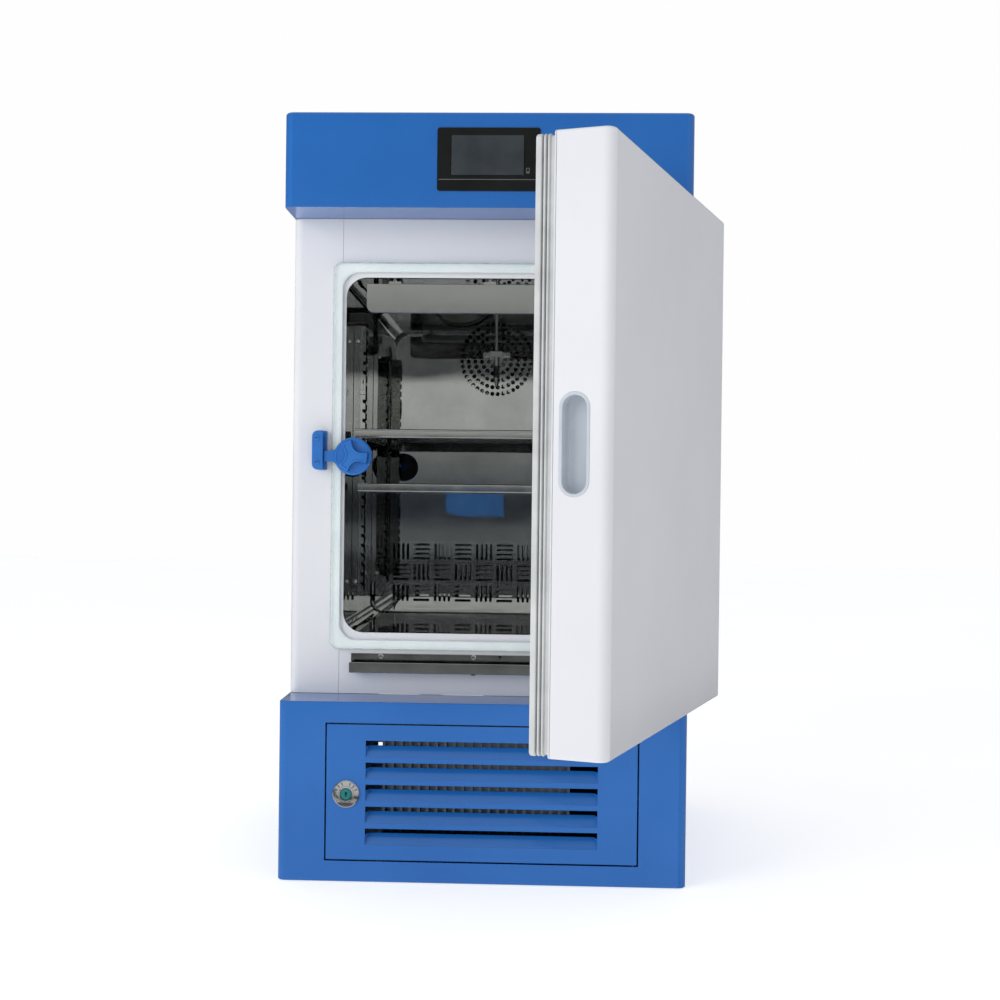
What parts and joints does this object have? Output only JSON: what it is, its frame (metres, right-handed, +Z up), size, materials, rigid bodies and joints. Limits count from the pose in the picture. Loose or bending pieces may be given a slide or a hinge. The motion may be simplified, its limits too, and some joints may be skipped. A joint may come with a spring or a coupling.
{
  "type": "laboratory incubator",
  "caption": "Floor-standing cooled laboratory incubator: blue header and louvred plinth, stainless chamber with shelves, glass inner door, solid outer door standing open.",
  "frame": {"origin": "centre of the cabinet's base on the floor, midway between the front plane of header and plinth and the back of the side walls' 540 mm depth", "axes": "+Z up, front faces -Y, +X to the viewer's right, the side on which the doors are hinged"},
  "size_m": [0.5998, 0.9996, 1.035],
  "materials": {
    "blue_paint": "satin powder coat",
    "white_paint": "satin powder coat",
    "white_plastic": "smooth moulded plastic",
    "stainless": "mirror-polished stainless steel",
    "zinc_steel": "zinc-plated steel",
    "foam": "rigid insulating foam",
    "gasket_rubber": "matt light grey",
    "silicone": "translucent greenish white",
    "clear_glass": "clear tempered glass",
    "blue_plastic": "satin moulded plastic",
    "black_plastic": "satin black",
    "display": "unlit display under clear cover",
    "chrome": "nickel-chrome plate",
    "teal_plastic": "satin plug face",
    "aluminium": "plain fin stock",
    "lamp_cover": "opal plastic"
  },
  "bodies": {
    "cabinet": {"header_cover": "blue_paint", "plinth_cover": "blue_paint", "left_side_panel": "white_paint", "right_side_panel": "white_paint", "front_fascia": "white_paint", "rear_cover": "white_paint", "upper_glass_bracket": "white_plastic", "lower_glass_bracket": "white_plastic", "chamber_liner": "stainless", "air_panel": "stainless", "lamp_shade": "stainless", "front_left_rail": "stainless", "front_right_rail": "stainless", "rear_left_rail": "stainless", "rear_right_rail": "stainless", "upper_left_runner": "stainless", "upper_right_runner": "stainless", "lower_left_runner": "stainless", "lower_right_runner": "stainless", "temperature_probe": "stainless", "probe_clamp": "stainless", "drip_tray": "stainless", "base_pan": "zinc_steel", "control_unit": "zinc_steel", "fan_motor": "zinc_steel", "upper_hinge_bracket": "zinc_steel", "lower_hinge_bracket": "zinc_steel", "upper_access_hinge": "zinc_steel", "lower_access_hinge": "zinc_steel", "insulation": "foam", "latch_keeper": "blue_plastic", "touch_bezel": "black_plastic", "power_inlet": "black_plastic", "sensor_cable": "black_plastic", "condenser_fan_frame": "black_plastic", "compressor": "black_plastic", "touch_screen": "display", "evaporator": "aluminium", "condenser": "aluminium", "lamp_strip": "lamp_cover"},
    "outer_door": {"door_shell": "white_paint", "door_foam": "foam", "door_liner": "white_plastic", "door_gasket": "gasket_rubber", "handle_cup": "white_plastic", "upper_hinge_leaf": "zinc_steel", "lower_hinge_leaf": "zinc_steel"},
    "glass_door": {"glass_pane": "clear_glass", "glass_seal": "silicone", "upper_glass_clamp": "white_plastic", "lower_glass_clamp": "white_plastic"},
    "glass_latch": {"latch_knob": "blue_plastic"},
    "access_door": {"access_door": "blue_paint", "lock_body": "chrome"},
    "door_lock": {"lock_plug": "teal_plastic", "lock_cam": "zinc_steel"},
    "circulation_fan": {"circulation_fan": "aluminium"},
    "condenser_fan": {"condenser_fan": "black_plastic"},
    "upper_shelf": {"upper_shelf": "stainless"},
    "lower_shelf": {"lower_shelf": "stainless"}
  },
  "joints": [
    {"name": "outer_door_hinge", "type": "hinge", "parent": "cabinet", "child": "outer_door", "pos_m": [0.262, -0.204, 0.575], "axis": [0, 0, 1], "range_deg": [-71, 29]},
    {"name": "glass_door_hinge", "type": "hinge", "parent": "cabinet", "child": "glass_door", "pos_m": [0.226, -0.204, 0.575], "axis": [0, 0, 1], "range_deg": [0, 64]},
    {"name": "glass_latch_turn", "type": "hinge", "parent": "glass_door", "child": "glass_latch", "pos_m": [-0.186, -0.204, 0.574], "axis": [0, 1, 0], "range_deg": [0, 90]},
    {"name": "access_door_hinge", "type": "hinge", "parent": "cabinet", "child": "access_door", "pos_m": [0.204, -0.265, 0.1205], "axis": [0, 0, 1], "range_deg": [0, 105]},
    {"name": "lock_turn", "type": "hinge", "parent": "access_door", "child": "door_lock", "pos_m": [-0.182, -0.27, 0.118], "axis": [0, -1, 0], "range_deg": [0, 90]},
    {"name": "circulation_fan_spin", "type": "hinge", "parent": "cabinet", "child": "circulation_fan", "pos_m": [0, 0.186, 0.746], "axis": [0, 1, 0], "continuous": true},
    {"name": "condenser_fan_spin", "type": "hinge", "parent": "cabinet", "child": "condenser_fan", "pos_m": [-0.01, -0.128, 0.108], "axis": [0, 1, 0], "continuous": true},
    {"name": "upper_shelf_slide", "type": "slide", "parent": "cabinet", "child": "upper_shelf", "axis": [0, -1, 0], "range_m": [0, 0.03]},
    {"name": "lower_shelf_slide", "type": "slide", "parent": "cabinet", "child": "lower_shelf", "axis": [0, -1, 0], "range_m": [0, 0.06]}
  ]
}
